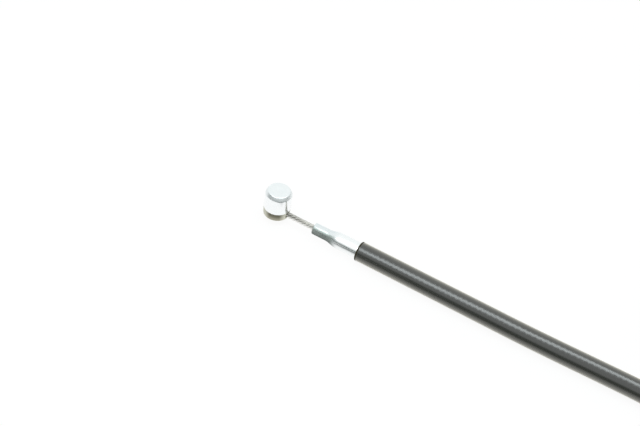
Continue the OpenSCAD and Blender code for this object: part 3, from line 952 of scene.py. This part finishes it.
corners = ((TIE_Y[0], 0), (TIE_Y[1], 0), (TIE_Y[1], STRAP), (TIE_Y[0], STRAP))
section = softened([(*corner, STRAP_ROUNDING) for corner in corners])
vertices = [
    Vector((TIE_X + px + nx * out, across, TIE_Z + pz + nz * out)) * MM
    for px, pz, nx, nz in tie_path() for across, out in section
]
tie = make_object("coil_tie_strap", vertices, ring_faces(TIE_POINTS, len(section)))
settle_shading(tie, degrees=50)
print("strap:", len(tie.data.polygons), "faces")

# %% Lock head of the tie
def rounded_box(name, low, high, rounding):
    """A box with rounded edges between two corners. Sizes are in mm."""
    shape = bmesh.new()
    bmesh.ops.create_cube(shape, size=1)
    size = Vector(high) - Vector(low)
    for vertex in shape.verts:
        vertex.co = Vector(low) + Vector([(vertex.co[k] + 0.5) * size[k] for k in range(3)])
    bmesh.ops.bevel(
        shape, geom=shape.edges[:], offset=rounding, segments=4, profile=0.5, affect="EDGES"
    )
    bmesh.ops.scale(shape, vec=(MM, MM, MM), verts=shape.verts)
    obj = make_object(name, [], [])
    shape.to_mesh(obj.data)
    shape.free()
    return settle_shading(obj)


lock = rounded_box("lock", (145.7, 25.2, 4.2), (150.3, 29.8, 7.42), 0.45)
cut_away(lock, rounded_box("slot", (144.0, 25.9, 5.1), (152.0, 29.1, 6.2), 0.1))
tail = rounded_box("tail", (144.9, 26.05, 5.3), (151.1, 28.95, 5.95), 0.15)
print("lock:", len(lock.data.polygons), "faces")

# %% Moulded nylon
nylon, tree, shader, here = new_finish("nylon_injection_moulded", IOR=1.53)
grain = add(tree, "ShaderNodeTexNoise", {"Scale": every(0.3), "Detail": 4}, {"Vector": here})
tone = add(tree, "ShaderNodeMix", {"data_type": "RGBA", A: linear("#141414"), B: linear("#262626")},
           {"Factor": grain})
rough = add(tree, "ShaderNodeMapRange", {"To Min": 0.38, "To Max": 0.55}, {"Value": grain})
bump = add(tree, "ShaderNodeBump", {"Strength": 0.8, "Distance": 0.015 * MM}, {"Height": grain})
connect(tree, shader, {"Base Color": tone, "Roughness": rough, "Normal": bump})
for piece in (tie, lock, tail):
    piece.data.materials.append(nylon)
join(tie, lock, tail)
dress(tie, nylon, "housing", "coil_tie")

# %% [markdown]
# ## Conduit and liner
#
# These stay as the CAD made them, inside the jacket, and need only their finish. The conduit is
# flat spring steel wound edge to edge, so dark grooves run round it, one to each turn. The liner
# is an extruded tube of natural polyethylene, milky and soft to the eye.

# %% Wound steel
wound, tree, shader, here = new_finish("spring_steel_flat_wound", Metallic=1.0)
x = add(tree, "ShaderNodeSeparateXYZ", links={"Vector": here}).outputs["X"]
turns = add(tree, "ShaderNodeMath",
            {"operation": "MULTIPLY", 1: math.tau * every(WINDING_PITCH)}, {0: x})
wave = add(tree, "ShaderNodeMath", {"operation": "SINE"}, {0: turns})
groove = add(tree, "ShaderNodeMapRange", {"From Min": -1.0, "From Max": -0.7}, {"Value": wave})
bump = add(tree, "ShaderNodeBump", {"Distance": 0.12 * MM}, {"Height": groove})
tone = add(tree, "ShaderNodeMix", {"data_type": "RGBA", A: linear("#2f2d2a"), B: linear("#86837e")},
           {"Factor": groove})
stain = add(tree, "ShaderNodeTexNoise", {"Scale": every(0.8), "Detail": 4}, {"Vector": here})
rough = add(tree, "ShaderNodeMapRange", {"To Min": 0.35, "To Max": 0.6}, {"Value": stain})
connect(tree, shader, {"Base Color": tone, "Roughness": rough, "Normal": bump})
print("finish:", wound.name)

# %% Extruded polyethylene
liner, tree, shader, here = new_finish(
    "polyethylene_extruded", IOR=1.51, Subsurface_Weight=0.3, Subsurface_Scale=0.5 * MM
)
haze = add(tree, "ShaderNodeTexNoise", {"Scale": every(1.0), "Detail": 3}, {"Vector": here})
tone = add(tree, "ShaderNodeMix", {"data_type": "RGBA", A: linear("#dcd9d0"), B: linear("#efeee8")},
           {"Factor": haze})
rough = add(tree, "ShaderNodeMapRange", {"To Min": 0.35, "To Max": 0.5}, {"Value": haze})
connect(tree, shader, {"Base Color": tone, "Roughness": rough})
print("finish:", liner.name)

# %% Finish the pieces inside
inside = {"front_conduit": wound, "rear_conduit": wound, "front_liner": liner, "rear_liner": liner}
for node, finish in inside.items():
    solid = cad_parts[node]
    if not solid.material_slots:
        solid.data.materials.append(finish)
    for place in solid.material_slots:
        place.material = finish
    print(node, "keeps its CAD shape, in", finish.name)
